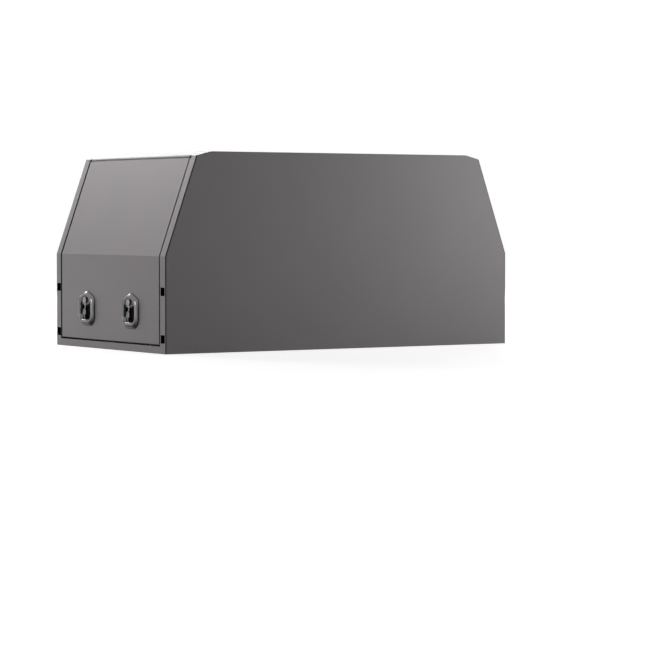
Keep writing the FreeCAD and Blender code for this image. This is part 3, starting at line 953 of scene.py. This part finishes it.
def makeCamera(look):
    data = bpy.data.cameras.new("camera")
    data.lens = look["lens"]
    data.sensor_width = look["sensor"]
    camera = bpy.data.objects.new("camera", data)
    camera.location = look["position"]
    camera.rotation_euler = (math.radians(90.0 + look["pitch"]), 0.0, math.radians(look["turn"]))
    bpy.context.scene.collection.objects.link(camera)
    bpy.context.scene.camera = camera


makeCamera(cameraPlace)


# Floor and light

warmTint = (1.0, 0.968, 0.985)
plainTint = (1.0, 1.0, 1.0)

lightPlan = [
    # name, position, aim, size, power, tint
    ("sideSoftbox", (-9.0, 1.5, 1.9), (-0.9, 0.0, 0.3), (7.0, 3.2), 258.0, warmTint),
    ("slopeSoftbox", (-2.6, 6.5, 3.6), (-0.9, 0.0, 0.5), (3.5, 2.5), 50.0, warmTint),
    ("frontSoftbox", (-1.6, 5.0, 3.4), (-0.9, 0.0, 0.2), (1.6, 1.6), 60.0, warmTint),
    ("latchSoftbox", (-6.5, -2.2, 0.9), (-0.9, -0.2, 0.2), (1.8, 1.2), 12.0, warmTint),
    ("cornerSoftbox", (3.0, -2.6, 1.3), (0.9, -0.5, 0.45), (1.6, 2.2), 51.0, plainTint),
    ("lowSoftbox", (6.0, -7.0, 0.9), (0.6, -0.5, 0.3), (3.0, 1.4), 34.0, plainTint),
    ("farSoftbox", (3.2, 6.9, 2.6), (0.0, 0.3, 0.9), (9.0, 3.0), 410.0, plainTint),
]

studio = {
    "ambient": 0.01,
    "floorColour": (0.9, 0.9, 0.9),
    # white of the paper, to the camera and in reflections: less near the canopy, where the
    # lamps add to it, so that its shadow shows
    "nearGlow": 0.72,
    "farGlow": 0.96,
    "nearReach": 1.3,
    "farReach": 7.0,
    "floorSize": 60.0,
    "floorRoughness": 0.9,
    "floorShine": 0.1,
}


def makeSoftbox(name, position, aim, size, power, tint):
    data = bpy.data.lights.new(name, "AREA")
    data.shape = "RECTANGLE"
    data.size, data.size_y = size
    data.energy = power
    data.color = tint
    lamp = bpy.data.objects.new(name, data)
    lamp.visible_camera = False
    lamp.location = position
    lamp.rotation_euler = (Vector(aim) - Vector(position)).to_track_quat("-Z", "Y").to_euler()
    bpy.context.scene.collection.objects.link(lamp)


def seenRays(tree):
    # 1 for rays from the camera, off metal and through glass, and 0 for the light itself
    path = tree.nodes.new("ShaderNodeLightPath")
    total = path.outputs["Is Camera Ray"]
    for kind in ("Is Glossy Ray", "Is Transmission Ray"):
        adder = tree.nodes.new("ShaderNodeMath")
        adder.operation = "ADD"
        adder.use_clamp = True
        tree.links.new(total, adder.inputs[0])
        tree.links.new(path.outputs[kind], adder.inputs[1])
        total = adder.outputs["Value"]
    return total


def makeWorld(look):
    # white to the camera and in reflections, a low level as light
    world = bpy.data.worlds.new("studio")
    bpy.context.scene.world = world
    world.use_nodes = True
    tree = world.node_tree
    background = tree.nodes["Background"]
    background.inputs["Color"].default_value = (1.0, 1.0, 1.0, 1.0)
    tree.links.new(remap(tree, seenRays(tree), look["ambient"], 1.0),
                   background.inputs["Strength"])


def makeFloor(look):
    mesh = bpy.data.meshes.new("floor")
    half = look["floorSize"] / 2.0
    corners = [(-half, -half, 0.0), (half, -half, 0.0), (half, half, 0.0), (-half, half, 0.0)]
    mesh.from_pydata(corners, [], [(0, 1, 2, 3)])
    floor = bpy.data.objects.new("floor", mesh)
    bpy.context.scene.collection.objects.link(floor)
    material, tree, shader = newMaterial("floorPaper")
    shader.inputs["Roughness"].default_value = look["floorRoughness"]
    shader.inputs["Specular IOR Level"].default_value = look["floorShine"]
    shader.inputs["Base Color"].default_value = (*look["floorColour"], 1.0)
    shader.inputs["Emission Color"].default_value = (1.0, 1.0, 1.0, 1.0)
    away = tree.nodes.new("ShaderNodeVectorMath")
    away.operation = "LENGTH"
    tree.links.new(objectCoords(tree), away.inputs[0])
    glow = remap(tree, away.outputs["Value"], look["nearGlow"], look["farGlow"])
    glow.node.inputs["From Min"].default_value = look["nearReach"]
    glow.node.inputs["From Max"].default_value = look["farReach"]
    seenGlow = tree.nodes.new("ShaderNodeMath")
    seenGlow.operation = "MULTIPLY"
    tree.links.new(glow, seenGlow.inputs[0])
    tree.links.new(seenRays(tree), seenGlow.inputs[1])
    tree.links.new(seenGlow.outputs["Value"], shader.inputs["Emission Strength"])
    mesh.materials.append(material)


for lamp in lightPlan:
    makeSoftbox(*lamp)
makeWorld(studio)
makeFloor(studio)
bpy.context.scene.view_settings.view_transform = "Standard"
print("camera, lights and floor made")
